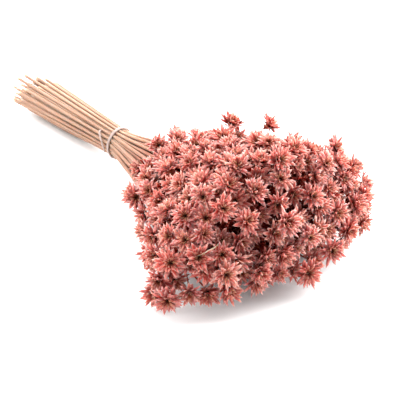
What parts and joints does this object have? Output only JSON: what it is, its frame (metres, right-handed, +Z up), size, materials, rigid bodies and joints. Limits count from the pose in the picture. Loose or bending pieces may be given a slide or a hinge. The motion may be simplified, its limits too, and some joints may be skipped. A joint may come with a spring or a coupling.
{
  "type": "dried flower bunch",
  "caption": "Tied bunch of pink-dyed dried hill flowers lying on its side: straw-coloured stems gathered by a string, spreading into a dense head of small starry blooms.",
  "frame": {"origin": "on the surface, under the middle of the bunch's bounding box", "axes": "+X from the cut stem ends to the flower heads, +Y across the bunch, +Z up from the surface"},
  "size_m": [0.4086, 0.21, 0.1079],
  "materials": {
    "dried_plant": "matt, dyed pink",
    "string": "matt"
  },
  "bodies": {
    "root": {"spray_00": "dried_plant", "spray_01": "dried_plant", "spray_02": "dried_plant", "spray_03": "dried_plant", "spray_04": "dried_plant", "spray_05": "dried_plant", "spray_06": "dried_plant", "spray_07": "dried_plant", "spray_08": "dried_plant", "spray_09": "dried_plant", "spray_10": "dried_plant", "spray_11": "dried_plant", "spray_12": "dried_plant", "spray_13": "dried_plant", "spray_14": "dried_plant", "spray_15": "dried_plant", "spray_16": "dried_plant", "spray_17": "dried_plant", "spray_18": "dried_plant", "spray_19": "dried_plant", "spray_20": "dried_plant", "spray_21": "dried_plant", "spray_22": "dried_plant", "spray_23": "dried_plant", "spray_24": "dried_plant", "spray_25": "dried_plant", "spray_26": "dried_plant", "spray_27": "dried_plant", "spray_28": "dried_plant", "spray_29": "dried_plant", "spray_30": "dried_plant", "spray_31": "dried_plant", "spray_32": "dried_plant", "spray_33": "dried_plant", "spray_34": "dried_plant", "spray_35": "dried_plant", "spray_36": "dried_plant", "spray_37": "dried_plant", "spray_38": "dried_plant", "spray_39": "dried_plant", "spray_40": "dried_plant", "spray_41": "dried_plant", "spray_42": "dried_plant", "spray_43": "dried_plant", "spray_44": "dried_plant", "spray_45": "dried_plant", "spray_46": "dried_plant", "spray_47": "dried_plant", "spray_48": "dried_plant", "spray_49": "dried_plant", "spray_50": "dried_plant", "spray_51": "dried_plant", "spray_52": "dried_plant", "spray_53": "dried_plant", "spray_54": "dried_plant", "spray_55": "dried_plant", "spray_56": "dried_plant", "tie": "string"}
  },
  "joints": []
}
